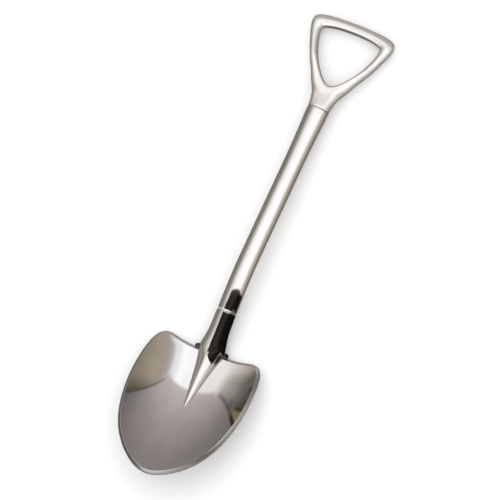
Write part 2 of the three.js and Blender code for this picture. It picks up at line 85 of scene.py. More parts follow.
def spline(knots, column=1):
    xs = np.array([k[0] for k in knots], float)
    ys = np.array([k[column] for k in knots], float)
    n = len(xs)
    m, u = np.zeros(n), np.zeros(n)
    for i in range(1, n - 1):
        sig = (xs[i] - xs[i - 1]) / (xs[i + 1] - xs[i - 1])
        p = sig * m[i - 1] + 2
        m[i] = (sig - 1) / p
        d = (ys[i + 1] - ys[i]) / (xs[i + 1] - xs[i]) - (ys[i] - ys[i - 1]) / (xs[i] - xs[i - 1])
        u[i] = (6 * d / (xs[i + 1] - xs[i - 1]) - sig * u[i - 1]) / p
    for i in range(n - 2, -1, -1):
        m[i] = m[i] * m[i + 1] + u[i]

    def f(x):
        x = np.asarray(x, float)
        i = np.clip(np.searchsorted(xs, x, side="right") - 1, 0, n - 2)
        h = xs[i + 1] - xs[i]
        a, b = (xs[i + 1] - x) / h, (x - xs[i]) / h
        y = a * ys[i] + b * ys[i + 1] + ((a**3 - a) * m[i] + (b**3 - b) * m[i + 1]) * h * h / 6
        h0, h1 = xs[1] - xs[0], xs[-1] - xs[-2]
        lo = ys[0] + ((ys[1] - ys[0]) / h0 - h0 * m[1] / 6) * (x - xs[0])
        hi = ys[-1] + ((ys[-1] - ys[-2]) / h1 + h1 * m[-2] / 6) * (x - xs[-1])
        return np.where(x < xs[0], lo, np.where(x > xs[-1], hi, y))

    return f


def smooth_table(f, a, b, sigma, step=0.5):
    """The function f resampled and blurred by sigma, so that its curvature has no jumps."""
    x = np.arange(a - 4 * sigma, b + 4 * sigma + step, step)
    k = np.arange(-int(3 * sigma / step), int(3 * sigma / step) + 1) * step
    w = np.exp(-0.5 * (k / sigma) ** 2)
    w /= w.sum()
    y = np.convolve(np.pad(f(x), len(k) // 2, mode="edge"), w, mode="valid")
    return lambda q: np.interp(q, x, y)


axis_z = smooth_table(spline(AXIS), -40, 545, 6.0)
tube_r = smooth_table(spline(TUBE_R), 100, 452, 5.0)
socket_a = smooth_table(spline(SOCKET, 1), 452, 597, 3.0)
socket_u = smooth_table(spline(SOCKET, 2), 452, 597, 4.0)
socket_l = smooth_table(spline(SOCKET, 3), 452, 597, 4.0)
dish_base, dish_rise = spline(DISH_BASE), spline(DISH_RISE)


def dish_z(x, s):
    q = (np.asarray(x, float) / DISH_X) ** 2
    return dish_base(s) + dish_rise(s) * (0.8 * q + 0.2 * q * q)


def socket_z(s):
    t = np.clip((np.asarray(s, float) - 500) / 30, 0, 1)
    k = t * t * (3 - 2 * t)
    return axis_z(s) * (1 - k) + dish_base(s) * k


def new_object(name, verts, faces, smooth=True):
    me = bpy.data.meshes.new(name)
    me.from_pydata([tuple(v) for v in verts], [], [tuple(int(i) for i in f) for f in faces])
    me.validate()
    me.update()
    ob = bpy.data.objects.new(name, me)
    bpy.context.scene.collection.objects.link(ob)
    if smooth:
        me.shade_smooth()
    return ob


def outward(ob):
    """Turns every face outwards."""
    bm = bmesh.new()
    bm.from_mesh(ob.data)
    bmesh.ops.recalc_face_normals(bm, faces=bm.faces)
    if bm.calc_volume(signed=True) < 0:
        bmesh.ops.reverse_faces(bm, faces=bm.faces)
    bm.to_mesh(ob.data)
    bm.free()
    ob.data.update()


def loft(name, rings, ends="caps"):
    """A closed body through rings of equal length; ends may be caps, or join to close a hollow body on itself."""
    rings = [np.asarray(r, float) for r in rings]
    n = len(rings[0])
    v = np.vstack(rings)
    f = []
    idx = np.arange(n)
    nxt = (idx + 1) % n
    for i in range(len(rings) - 1):
        a, b = i * n + idx, i * n + nxt
        f.append(np.stack([a, a + n, b + n, b], 1))
    if ends == "join":
        a, b = (len(rings) - 1) * n + idx, (len(rings) - 1) * n + nxt
        f.append(np.stack([a, idx, nxt, b], 1))
    faces = np.vstack(f).tolist()
    if ends == "caps":
        for k in (0, len(rings) - 1):
            c = len(v)
            v = np.vstack([v, v[k * n:(k + 1) * n].mean(0)])
            for j in range(n):
                faces.append([k * n + j, k * n + (j + 1) % n, c])
    ob = new_object(name, place(v), faces)
    outward(ob)
    return ob


def axis_ring(s, r, n):
    d = axis_z(s + 0.5) - axis_z(s - 0.5)
    l = math.hypot(1, d)
    a = np.linspace(0, 2 * np.pi, n, endpoint=False)
    c, h = r * np.cos(a), r * np.sin(a)
    return np.stack([c, s - h * d / l, axis_z(s) + h / l], 1)


# ---------------------------------------------------------------- blade
def blade_outline(n):
    half = OUTLINE
    pts = np.array(list(half) + [(-x, s) for x, s in half[1:-1][::-1]], float)
    m = len(pts)
    fine = []
    t = np.arange(16)[:, None] / 16
    for i in range(m):
        a, b, c, d = (pts[(i + k) % m] for k in (-1, 0, 1, 2))
        fine.append(0.5 * (2 * b + (c - a) * t + (2 * a - 5 * b + 4 * c - d) * t**2 + (3 * b - a - 3 * c + d) * t**3))
    fine = np.vstack(fine)

    def even(p, k):
        q = np.vstack([p, p[:1]])
        l = np.concatenate([[0], np.cumsum(np.linalg.norm(np.diff(q, axis=0), axis=1))])
        u = np.linspace(0, l[-1], k, endpoint=False)
        return np.stack([np.interp(u, l, q[:, 0]), np.interp(u, l, q[:, 1])], 1), l[-1]

    p, total = even(fine, 1200)
    step = total / 1200
    sigma = 3.6 / step
    k = np.arange(-int(4 * sigma), int(4 * sigma) + 1)
    w = np.exp(-0.5 * (k / sigma) ** 2)
    w /= w.sum()
    q = sum(wi * np.roll(p, -ki, axis=0) for wi, ki in zip(w, k))
    q2 = sum(wi * np.roll(q, -ki, axis=0) for wi, ki in zip(w, k))
    q = 2 * q - q2  # keeps the corners from shrinking
    return even(q, n)[0]


def build_blade(n=384):
    out = blade_outline(n)
    a, b = np.roll(out, 1, axis=0), np.roll(out, -1, axis=0)
    t = b - a
    t /= np.linalg.norm(t, axis=1)[:, None]
    nrm = np.stack([-t[:, 1], t[:, 0]], 1)  # towards the middle, as in the CAD part
    if (nrm * (np.array([0, BLADE_MID]) - out)).sum() < 0:
        nrm = -nrm
    at = lambda e: out + nrm * e
    crest = at(RIM_BEVEL)
    cz = dish_z(crest[:, 0], crest[:, 1])
    mid = np.array([0.0, BLADE_MID])
    rings = []
    # dished face
    for k in np.linspace(0.02, 0.935, 60) ** 0.85:
        p = mid + (crest - mid) * k
        rings.append(np.column_stack([p, dish_z(p[:, 0], p[:, 1])]))
    for e in (2.6, 1.6, 0.9, 0.5):
        p = at(RIM_BEVEL + e)
        rings.append(np.column_stack([p, dish_z(p[:, 0], p[:, 1])]))
    # rolled crest, convex bevel, rounded outer edge
    prof = [(0.2, 0.0), (0.0, 0.0), (-0.25, 0.04), (-0.55, 0.22), (-0.95, 0.55), (-1.6, 1.15), (-2.4, 1.95), (-3.2, 2.85), (-3.9, 3.8),
            (-4.35, 4.55), (-4.58, 5.0), (-4.65, 5.35), (-4.55, 5.7), (-4.25, 5.93), (-3.8, 6.0), (-2.8, 5.85), (-1.4, 5.45)]
    for e, dz in prof:
        p = at(RIM_BEVEL + e)
        z = cz - dz
        if e > 0:
            z = dish_z(p[:, 0], p[:, 1]) + 0.0
        rings.append(np.column_stack([p, z]))
    # underside: a soft hollow behind the rim, then parallel to the face
    back = lambda p: dish_z(p[:, 0], p[:, 1]) - PLATE
    for e, w in ((0.4, 0.62), (2.0, 0.4), (3.8, 0.2), (6.0, 0.05)):
        p = at(RIM_BEVEL + e)
        rim = cz - 5.1 + 0.02 * e
        z = np.minimum(back(p), back(p)) * (1 - w) + np.minimum(rim, back(p)) * w
        rings.append(np.column_stack([p, z]))
    for k in np.linspace(0.9, 0.02, 50):
        p = mid + (crest - mid) * k
        rings.append(np.column_stack([p, back(p)]))
    ob = loft("blade_plate", rings)
    # 1 on the ground bevel, where the rim's painted shade also goes; 0 on the polished face
    first = 64 + 4
    ground_and_painted_shade = np.zeros(len(ob.data.vertices), np.float32)
    ground_and_painted_shade[(first - 1) * n:first * n] = 0.4
    ground_and_painted_shade[first * n:(first + 16) * n] = 1.0
    layer = ob.data.attributes.new("ground_and_painted_shade", "FLOAT", "POINT")
    layer.data.foreach_set("value", ground_and_painted_shade)
    return ob


# ---------------------------------------------------------------- socket
def socket_ring(s, n=96, shrink=0.0):
    d = socket_z(s + 0.5) - socket_z(s - 0.5)
    l = math.hypot(1, d)
    a = max(0.15, float(socket_a(s)) - shrink)
    u = max(0.15, float(socket_u(s)) - shrink)
    w = max(0.15, float(socket_l(s)) - shrink)
    t = np.linspace(0, 2 * np.pi, n, endpoint=False)
    c = a * np.cos(t)
    h = np.where(np.sin(t) > 0, u, w) * np.sin(t)
    # the frog's rounded ridge, from the blade's upper edge down
    k = min(1.0, max(0.0, (s - 503) / 26))
    k = k * k * (3 - 2 * k)
    e = RIDGE
    q = np.clip((np.sqrt(np.cos(t) ** 2 + e * e) - e) / (math.sqrt(1 + e * e) - e), 0, 1)
    ridge = u * (1 - q**1.2) ** 0.62
    h = np.where(np.sin(t) > 0, h * (1 - k) + ridge * k, h)
    return np.stack([c, s - h * d / l, socket_z(s) + h / l], 1)


def build_socket():
    s0 = SEAM_LOW + GAP / 2
    rings = [socket_ring(s0 + 14, shrink=2.6), socket_ring(s0, shrink=2.6), socket_ring(s0, shrink=GROOVE + 0.15), socket_ring(s0, shrink=GROOVE)]
    rings += [socket_ring(s0 + GROOVE * k, shrink=GROOVE * (1 - k)) for k in (0.1, 0.5, 0.9)]
    rings += [socket_ring(s) for s in np.concatenate([[s0 + GROOVE, s0 + GROOVE + 0.3, s0 + 2.4], np.arange(455.5, 597, 1.5), [598, 599, 599.6]])]
    ob = loft("socket_body", rings)
    # 1 in the corner where the frog meets the blade, where painted shade goes
    t = np.linspace(0, 2 * np.pi, 96, endpoint=False)
    corner = np.clip((np.abs(np.cos(t)) - 0.52) / 0.40, 0, 1)
    mean_s = np.array([r[:, 1].mean() for r in rings])
    along = np.clip((mean_s - 504) / 10, 0, 1)
    value = np.zeros(len(ob.data.vertices), np.float32)
    value[:96 * len(rings)] = (along[:, None] * corner[None, :]).ravel()
    layer = ob.data.attributes.new("crease", "FLOAT", "POINT")
    layer.data.foreach_set("value", value)
    return ob


# ---------------------------------------------------------------- shaft
def build_shaft(n=96):
    s0, s1 = SEAM_TOP + GAP / 2, SEAM_LOW - GAP / 2
    ss = np.concatenate([[s0 + GROOVE, s0 + GROOVE + 0.3, s0 + 3], np.arange(142, 448.2, 2.0), [s1 - 3.2, s1 - LOW_LONG - 0.2, s1 - LOW_LONG]])
    rings = [axis_ring(s0 + 12, 12.4, n), axis_ring(s0, 12.4, n)]
    r0, r1 = float(tube_r(s0)), float(tube_r(s1))
    rings += [axis_ring(s0, r0 - GROOVE - 0.15, n)]
    rings += [axis_ring(s0 + GROOVE * k, r0 - GROOVE * (1 - k), n) for k in (0.0, 0.1, 0.5, 0.9)]
    rings += [axis_ring(s, float(tube_r(s)), n) for s in ss]
    first = len(rings)
    rings += [axis_ring(s1 - LOW_LONG * k, r1 - LOW_DEEP * (1 - k), n) for k in (0.95, 0.5, 0.05, 0.0)]
    rings += [axis_ring(s1, r1 - LOW_DEEP - 0.15, n), axis_ring(s1, 12.4, n), axis_ring(s1 - 12, 12.4, n)]
    rings += [axis_ring(s, 12.4, n) for s in np.arange(s1 - 40, s0 + 14, -20)]
    ob = loft("shaft_outer", rings, ends="join")
    # 1 on the lower chamfer, which gets a matt finish and a painted highlight
    value = np.zeros(len(ob.data.vertices), np.float32)
    value[first * n:(first + 5) * n] = 1.0
    layer = ob.data.attributes.new("turned_and_highlight", "FLOAT", "POINT")
    layer.data.foreach_set("value", value)
    return ob


# ---------------------------------------------------------------- D-grip cage, smoothed by subdivision
def build_grip(levels=3):
    K = 1.108
    v, f = [], []

    def put(x, s, z):
        v.append((x, s, z))
        return len(v) - 1

    side = {1: [], -1: []}
    for k, (x, s, w, h) in enumerate(RING):
        a, b = RING[max(0, k - 1)], RING[min(len(RING) - 1, k + 1)]
        tx, ts = b[0] - a[0], b[1] - a[1]
        if k == 0:
            ts = 0
        l = math.hypot(tx, ts)
        nx, ns = ts / l, -tx / l
        for m in ((1,) if k == 0 else (1, -1)):
            row = []
            for j in range(8):
                c = math.cos(j * math.pi / 4) * w * K
                q = math.sin(j * math.pi / 4) * h * K
                row.append(put(m * (x + nx * c), s + ns * c, q))
            side[m].append(row)
    side[-1].insert(0, side[1][0])
    c0, c1, c2, c3, c4 = CROTCH
    shared = [put(*c3), put(*c4), put(c3[0], c3[1], -c3[2])]
    for m in (1, -1):
        p = lambda x, s, z: put(m * x, s, z)
        side[m].append([p(*c0), p(*c1), p(*c2), shared[0], shared[1], shared[2],
                        p(c2[0], c2[1], -c2[2]), p(c1[0], c1[1], -c1[2])])
    for m in (1, -1):
        for k in range(len(side[m]) - 1):
            A, B = side[m][k], side[m][k + 1]
            for j in range(8):
                i = (j + 1) % 8
                f.append([A[j], A[i], B[i], B[j]] if m > 0 else [A[j], B[j], B[i], A[i]])
    C = 1.047
    C2 = 1.0472
    end = SEAM_TOP - GAP / 2
    rows = [(s, w * C, h * C) for s, w, h in NECK]
    rows += [(131.5, 16.2 * C2, 15.65 * C2), (134.6, 15.88 * C2, 15.85 * C2), (end - GROOVE, 15.85 * C2, 15.85 * C2),
             (end, (15.85 - GROOVE) * C2, (15.85 - GROOVE) * C2), (end, 9.6 * C2, 9.6 * C2), (end - 12, 9.6 * C2, 9.6 * C2)]
    rings = []
    for s, w, h in rows:
        rings.append([put(math.cos(j * math.pi / 6) * w, s, math.sin(j * math.pi / 6) * h) for j in range(12)])
    R, L, N = side[1][-1], side[-1][-1], rings[0]

    def strip(pairs, flip):
        for (a, b), (c, d) in zip(pairs, pairs[1:]):
            f.append([a, b, d, c] if flip else [a, c, d, b])

    strip([(R[0], N[0]), (R[1], N[1]), (R[2], N[2]), (R[3], N[3])], False)
    strip([(R[0], N[0]), (R[7], N[11]), (R[6], N[10]), (R[5], N[9])], True)
    strip([(L[0], N[6]), (L[1], N[5]), (L[2], N[4]), (L[3], N[3])], True)
    strip([(L[0], N[6]), (L[7], N[7]), (L[6], N[8]), (L[5], N[9])], False)
    for A, B in zip(rings, rings[1:]):
        for j in range(12):
            i = (j + 1) % 12
            f.append([A[j], A[i], B[i], B[j]])
    c = put(0, end - 12, 0)
    last = rings[-1]
    for j in range(0, 12, 2):
        f.append([last[j], last[(j + 1) % 12], last[(j + 2) % 12], c])
    ob = new_object("grip_casting", place(np.array(v)), f)
    outward(ob)
    bm = bmesh.new()
    bm.from_mesh(ob.data)
    crease = bm.edges.layers.float.new("crease_edge")
    ring_of = {i: k for k, r in enumerate(rings) for i in r}
    for e in bm.edges:
        a, b = (ring_of.get(x.index, -1) for x in e.verts)
        if a == b and a in (5, 6, 7, 8):
            e[crease] = 0.92
    bm.to_mesh(ob.data)
    bm.free()
    mod = ob.modifiers.new("smooth", "SUBSURF")
    mod.levels = mod.render_levels = levels
    mod.subdivision_type = "CATMULL_CLARK"
    return ob


# ---------------------------------------------------------------- welds, pins, rivets
def build_weld(name, side):
    bm = bmesh.new()
    bmesh.ops.create_uvsphere(bm, u_segments=48, v_segments=32, radius=1.0)
    pts = np.array([v.co[:] for v in bm.verts])
    # the ripple that a weld pool leaves, running round the corner
    ripple = 0.02 * np.sin(9.0 * np.arctan2(pts[:, 1], pts[:, 0] * side) + 2.0 * pts[:, 2])
    pts = pts * (1 + ripple)[:, None]
    c = np.array([side * WELD_X, WELD_S, float(socket_z(WELD_S)) + WELD_Z])
    q = place(c + pts * np.array(WELD))
    for v, p in zip(bm.verts, q):
        v.co = p
    me = bpy.data.meshes.new(name)
    bm.to_mesh(me)
    bm.free()
    ob = bpy.data.objects.new(name, me)
    bpy.context.scene.collection.objects.link(ob)
    me.shade_smooth()
    outward(ob)
    return ob


def build_pin(name, s, z0, z1, r=2.4):
    """A flush pin seen from behind: slightly domed face, chamfered edge."""
    rings = []
    a = np.linspace(0, 2 * np.pi, 48, endpoint=False)
    for rr, dz in ((0.05, -0.02), (0.9, -0.01), (1.7, 0.06), (r - 0.35, 0.12), (r - 0.08, 0.3), (r, 0.55), (r, 1.2)):
        rings.append(np.stack([rr * np.cos(a), s + rr * np.sin(a), np.full(48, z0 + dz)], 1))
    for rr, dz in ((r, 0.0), (r - 0.3, 0.3), (0.05, 0.3)):
        rings.append(np.stack([rr * np.cos(a), s + rr * np.sin(a), np.full(48, z1 - 0.4 + dz)], 1))
    return loft(name, rings)


PINS = {
    "grip_pin": (127.0, -15.0, -6.0),
    "shaft_top_pin": (153.0, -15.45, -6.45),
    "shaft_low_pin": (441.0, float(axis_z(441.0)) - 14.45, float(axis_z(441.0)) - 6.45),
    "socket_pin": (463.5, float(axis_z(463.5)) - 14.45, float(axis_z(463.5)) - 6.45),
    "blade_rivet_upper": (520.5, float(socket_z(520.5) - socket_l(520.5)) + 0.2, float(socket_z(520.5) - socket_l(520.5)) + 12.7),
    "blade_rivet_lower": (541.0, float(socket_z(541.0) - socket_l(541.0)) + 0.2, float(socket_z(541.0) - socket_l(541.0)) + 9.2),
}

made = {
    "blade": build_blade(),
    "blade_socket": build_socket(),
    "shaft_tube": build_shaft(),
    "d_grip": build_grip(),
    "weld_left": build_weld("weld_bead_left", -1),
    "weld_right": build_weld("weld_bead_right", 1),
}
for name, (s, z0, z1) in PINS.items():
    made[name] = build_pin(name + "_fine", s, z0, z1)


# ---------------------------------------------------------------- materials
def node(nt, kind, **values):
    n = nt.nodes.new(kind)
    for k, v in values.items():
        if k in n.inputs:
            n.inputs[k].default_value = v
        else:
            setattr(n, k, v)
    return n


class Graph:
    """Arithmetic on node sockets."""

    def __init__(self, nt):
        self.nt = nt

    def _in(self, n, i, v):
        if isinstance(v, (int, float)):
            n.inputs[i].default_value = float(v)
        else:
            self.nt.links.new(v, n.inputs[i])

    def math(self, op, a, b=None, c=None):
        n = self.nt.nodes.new("ShaderNodeMath")
        n.operation = op
        for i, v in enumerate((a, b, c)):
            if v is not None:
                self._in(n, i, v)
        return n.outputs[0]

    def add(self, *v):
        out = v[0]
        for w in v[1:]:
            out = self.math("ADD", out, w)
        return out

    def mul(self, *v):
        out = v[0]
        for w in v[1:]:
            out = self.math("MULTIPLY", out, w)
        return out

    def step(self, a, b, x):
        """Smoothstep from a to b, in either order."""
        n = self.nt.nodes.new("ShaderNodeMapRange")
        n.interpolation_type = "SMOOTHSTEP"
        self._in(n, 0, x)
        lo, hi, t0, t1 = (a, b, 0.0, 1.0) if a < b else (b, a, 1.0, 0.0)
        for i, v in ((1, lo), (2, hi), (3, t0), (4, t1)):
            n.inputs[i].default_value = v
        return n.outputs[0]

    def ramp(self, x, stops, lo, hi):
        n = self.nt.nodes.new("ShaderNodeValToRGB")
        cr = n.color_ramp
        cr.interpolation = "LINEAR"
        cr.elements.remove(cr.elements[-1])
        for i, (p, c) in enumerate(stops):
            at = min(1.0, max(0.0, (p - lo) / (hi - lo)))
            if i:
                e = cr.elements.new(at)
            else:
                e = cr.elements[0]
                e.position = at
            e.color = (*(v / 2 for v in c), 1)
        self.nt.links.new(self.math("DIVIDE", self.math("SUBTRACT", x, lo), hi - lo), n.inputs[0])
        twice = self.nt.nodes.new("ShaderNodeVectorMath")
        twice.operation = "SCALE"
        twice.inputs["Scale"].default_value = 2.0
        self.nt.links.new(n.outputs[0], twice.inputs[0])
        return twice.outputs[0]

    def mix(self, a, b, m):
        n = self.nt.nodes.new("ShaderNodeMix")
        n.data_type = "RGBA"
        n.clamp_result = False
        fac = [i for i in n.inputs if i.name == "Factor" and i.type == "VALUE"][0]
        ca = [i for i in n.inputs if i.name == "A" and i.type == "RGBA"][0]
        cb = [i for i in n.inputs if i.name == "B" and i.type == "RGBA"][0]
        out = [o for o in n.outputs if o.type == "RGBA"][0]
        if isinstance(m, (int, float)):
            fac.default_value = m
        else:
            self.nt.links.new(m, fac)
        for sock, v in ((ca, a), (cb, b)):
            if isinstance(v, tuple):
                sock.default_value = (*v, 1)
            else:
                self.nt.links.new(v, sock)
        return out


def steel(name, colour, dark, rough, rough_spread, scratch, grain_scale=(1.0, 1.0, 1.0), ground_and_painted_shade=False, crease=False, turned_and_highlight=False):
    mat = bpy.data.materials.new(name)
    mat.use_nodes = True
    nt = mat.node_tree
    nt.nodes.clear()
    out = nt.nodes.new("ShaderNodeOutputMaterial")
    bsdf = nt.nodes.new("ShaderNodeBsdfPrincipled")
    bsdf.inputs["Metallic"].default_value = 1.0
    nt.links.new(bsdf.outputs[0], out.inputs[0])
    tc = nt.nodes.new("ShaderNodeTexCoord")
    # broad smears in the polish
    smear = node(nt, "ShaderNodeTexNoise", Scale=38.0, Detail=5.0, Roughness=0.62)
    mp = node(nt, "ShaderNodeMapping")
    mp.inputs["Scale"].default_value = (1.0, 0.35, 1.0)
    nt.links.new(tc.outputs["Object"], mp.inputs["Vector"])
    nt.links.new(mp.outputs[0], smear.inputs["Vector"])
    # fine wipe marks along the shaft
    mp2 = node(nt, "ShaderNodeMapping")
    mp2.inputs["Scale"].default_value = grain_scale
    nt.links.new(tc.outputs["Object"], mp2.inputs["Vector"])
    wipe = node(nt, "ShaderNodeTexNoise", Scale=900.0, Detail=3.0, Roughness=0.6)
    nt.links.new(mp2.outputs[0], wipe.inputs["Vector"])
    mixed = node(nt, "ShaderNodeMath", operation="MULTIPLY_ADD")
    nt.links.new(wipe.outputs["Fac"], mixed.inputs[0])
    mixed.inputs[1].default_value = 0.35
    nt.links.new(smear.outputs["Fac"], mixed.inputs[2])
    rr = node(nt, "ShaderNodeMapRange")
    rr.inputs["From Min"].default_value = 0.35
    rr.inputs["From Max"].default_value = 1.0
    rr.inputs["To Min"].default_value = rough
    rr.inputs["To Max"].default_value = rough + rough_spread
    nt.links.new(mixed.outputs[0], rr.inputs["Value"])
    roughness = rr.outputs[0]
    # colour: slightly warmer and darker where the polish has dulled
    ramp = nt.nodes.new("ShaderNodeValToRGB")
    ramp.color_ramp.elements[0].position = 0.3
    ramp.color_ramp.elements[1].position = 0.72
    ramp.color_ramp.elements[0].color = (*colour, 1)
    ramp.color_ramp.elements[1].color = (*dark, 1)
    nt.links.new(smear.outputs["Fac"], ramp.inputs["Fac"])
    base = ramp.outputs[0]
    if ground_and_painted_shade:
        # the bevel is ground, not polished, so it is coarser; its colour, darker towards the digging point, is painted
        # shade
        h = Graph(nt)
        at = nt.nodes.new("ShaderNodeAttribute")
        at.attribute_name = "ground_and_painted_shade"
        sp = nt.nodes.new("ShaderNodeSeparateXYZ")
        nt.links.new(tc.outputs["Object"], sp.inputs[0])
        # painted shade: the bevel's colour darkens from the grip side down to the digging point
        tone = h.ramp(sp.outputs[1], [(-0.356, (0.31, 0.30, 0.295)), (-0.30, (0.34, 0.325, 0.32)), (-0.23, (0.47, 0.455, 0.45)),
                                      (-0.175, (0.56, 0.56, 0.56)), (-0.158, (0.82, 0.82, 0.82))], -0.36, -0.14)
        base = h.mix(base, tone, at.outputs["Fac"])
        coarse = h.add(0.30, h.mul(wipe.outputs["Fac"], 0.12))
        roughness = h.add(roughness, h.mul(h.add(coarse, h.mul(roughness, -1.0)), at.outputs["Fac"]))
    if turned_and_highlight:
        # the chamfer at the lower end is left as turned, so it is matt; its near-white colour is a painted highlight
        h = Graph(nt)
        at = nt.nodes.new("ShaderNodeAttribute")
        at.attribute_name = "turned_and_highlight"
        # painted highlight: the chamfer's colour is pushed to near white
        base = h.mix(base, (0.97, 0.96, 0.95), at.outputs["Fac"])
        roughness = h.add(roughness, h.mul(h.add(h.mul(wipe.outputs["Fac"], 0.1), 0.48), at.outputs["Fac"]))
    if crease:
        # painted shade darkens the corner along the weld, which also gets a rougher finish
        h = Graph(nt)
        at = nt.nodes.new("ShaderNodeAttribute")
        at.attribute_name = "crease"
        corner_shade_amount = h.mul(at.outputs["Fac"], h.add(0.75, h.mul(smear.outputs["Fac"], 0.5)))
        # painted shade: the corner's colour is pulled towards dark grey-brown
        base = h.mix(base, (0.30, 0.28, 0.255), h.mul(corner_shade_amount, 0.72))
        roughness = h.add(roughness, h.mul(corner_shade_amount, 0.16))
    nt.links.new(roughness, bsdf.inputs["Roughness"])
    nt.links.new(base, bsdf.inputs["Base Color"])
    # hairline scratches
    vor = node(nt, "ShaderNodeTexNoise", Scale=260.0, Detail=2.0, Roughness=0.5, Distortion=1.2)
    mp3 = node(nt, "ShaderNodeMapping")
    mp3.inputs["Rotation"].default_value = (0.2, 0.1, 0.5)
    mp3.inputs["Scale"].default_value = (1.0, 0.06, 1.0)
    nt.links.new(tc.outputs["Object"], mp3.inputs["Vector"])
    nt.links.new(mp3.outputs[0], vor.inputs["Vector"])
    bump = node(nt, "ShaderNodeBump", Strength=scratch, Distance=0.0004)
    nt.links.new(vor.outputs["Fac"], bump.inputs["Height"])
    nt.links.new(bump.outputs[0], bsdf.inputs["Normal"])
    return mat


POLISH = steel("polished_steel_fine", (0.74, 0.72, 0.70), (0.66, 0.63, 0.60), 0.035, 0.05, 0.02, (1.0, 0.05, 1.0), turned_and_highlight=True)
BLADE_MAT = steel("polished_blade_fine", (0.74, 0.72, 0.70), (0.67, 0.645, 0.62), 0.035, 0.05, 0.02, (1.0, 0.05, 1.0), ground_and_painted_shade=True)
SOCKET_MAT = steel("polished_socket_fine", (0.74, 0.72, 0.70), (0.66, 0.63, 0.60), 0.035, 0.05, 0.02, (1.0, 0.05, 1.0), crease=True)
SATIN = steel("satin_steel_fine", (0.85, 0.832, 0.808), (0.775, 0.757, 0.732), 0.33, 0.10, 0.03, (1.0, 0.3, 1.0))
PLAIN = steel("plain_steel_fine", (0.58, 0.57, 0.56), (0.44, 0.43, 0.42), 0.28, 0.2, 0.25, (1.0, 0.2, 1.0))
WELD_MAT = steel("weld_steel_fine", (0.11, 0.093, 0.078), (0.05, 0.042, 0.034), 0.28, 0.2, 0.2)

for nodename, ob in made.items():
    ob.data.materials.clear()
    mat = PLAIN if ("pin" in nodename or "rivet" in nodename) else WELD_MAT if nodename.startswith("weld") else SATIN if nodename == "d_grip" else BLADE_MAT if nodename == "blade" else SOCKET_MAT if nodename == "blade_socket" else POLISH
    ob.data.materials.append(mat)
    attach(ob, "root")
    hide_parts(nodename)

for nodename in ("upper_spigot", "lower_spigot"):
    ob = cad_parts[nodename]
    ob = ob if hasattr(ob, "data") else bpy.data.objects[ob]
    for sl in range(max(1, len(ob.material_slots))):
        if len(ob.material_slots) <= sl:
            ob.data.materials.append(PLAIN)
        else:
            ob.material_slots[sl].material = PLAIN

# ---------------------------------------------------------------- stage
bm = bmesh.new()
bmesh.ops.create_grid(bm, x_segments=24, y_segments=24, size=14.0)
me = bpy.data.meshes.new("floor")
bm.to_mesh(me)
bm.free()
floor = bpy.data.objects.new("floor", me)
floor.location.z = -0.0005
bpy.context.scene.collection.objects.link(floor)
fm = bpy.data.materials.new("pale_floor")
fm.use_nodes = True
fb = fm.node_tree.nodes["Principled BSDF"]
fb.inputs["Base Color"].default_value = (0.93, 0.93, 0.93, 1)
fb.inputs["Roughness"].default_value = 0.9
fb.inputs["Specular IOR Level"].default_value = 0.1
floor.data.materials.append(fm)
floor.visible_glossy = False

# ---------------------------------------------------------------- world
# A pale studio. Bare steel shows its surroundings, so the surroundings are laid out by direction: a white sweep in
# front, dimmer side walls, a grey card over the blade. The camera and diffuse light see plain white.
def linear(c):
    c = np.asarray(c, float) / 255
    return np.where(c <= 0.04045, c / 12.92, ((c + 0.055) / 1.055) ** 2.4)


STEEL_BASE = np.array([0.74, 0.72, 0.70])


def light(c, lift=1.0):
    """The emission that polished steel shows as the display colour c."""
    return tuple(float(v) for v in linear(c) / STEEL_BASE * lift)


# white sweep and side walls by azimuth from straight up, seen along the shovel: degrees, display colour, lift
SWEEP = [(-180, (88, 81, 71), 1), (-120, (112, 107, 99), 1), (-100, (132, 128, 121), 1), (-88, (120, 117, 110), 1),
         (-76, (128, 124, 117), 1), (-66, (148, 144, 137), 1), (-54, (172, 168, 161), 1), (-42, (204, 199, 193), 1),
         (-30, (233, 229, 226), 1), (-18, (246, 243, 243), 1), (-6, (250, 248, 250), 1.0), (6, (255, 255, 255), 1.05),
         (56, (255, 255, 255), 1.05), (66, (240, 237, 233), 1), (78, (212, 207, 199), 1), (90, (182, 176, 164), 1),
         (102, (172, 165, 150), 1), (126, (126, 119, 106), 1), (180, (88, 81, 71), 1)]
# the room on the left as the blade's far wing shows it
ROOM = [(-100, (63, 56, 51)), (-92.5, (67, 60, 55)), (-87.5, (71, 64, 59)), (-82.5, (80, 73, 68)), (-77.5, (89, 82, 77)),
        (-72.5, (101, 94, 89)), (-67.5, (112, 105, 100)), (-62.5, (129, 122, 117)), (-57.5, (151, 144, 139)), (-52.5, (170, 163, 158)),
        (-47.5, (185, 178, 173)), (-42.5, (199, 192, 187)), (-39, (211, 204, 199)), (-37, (223, 216, 211)), (-34.5, (238, 233, 230)),
        (-25, (240, 236, 237))]

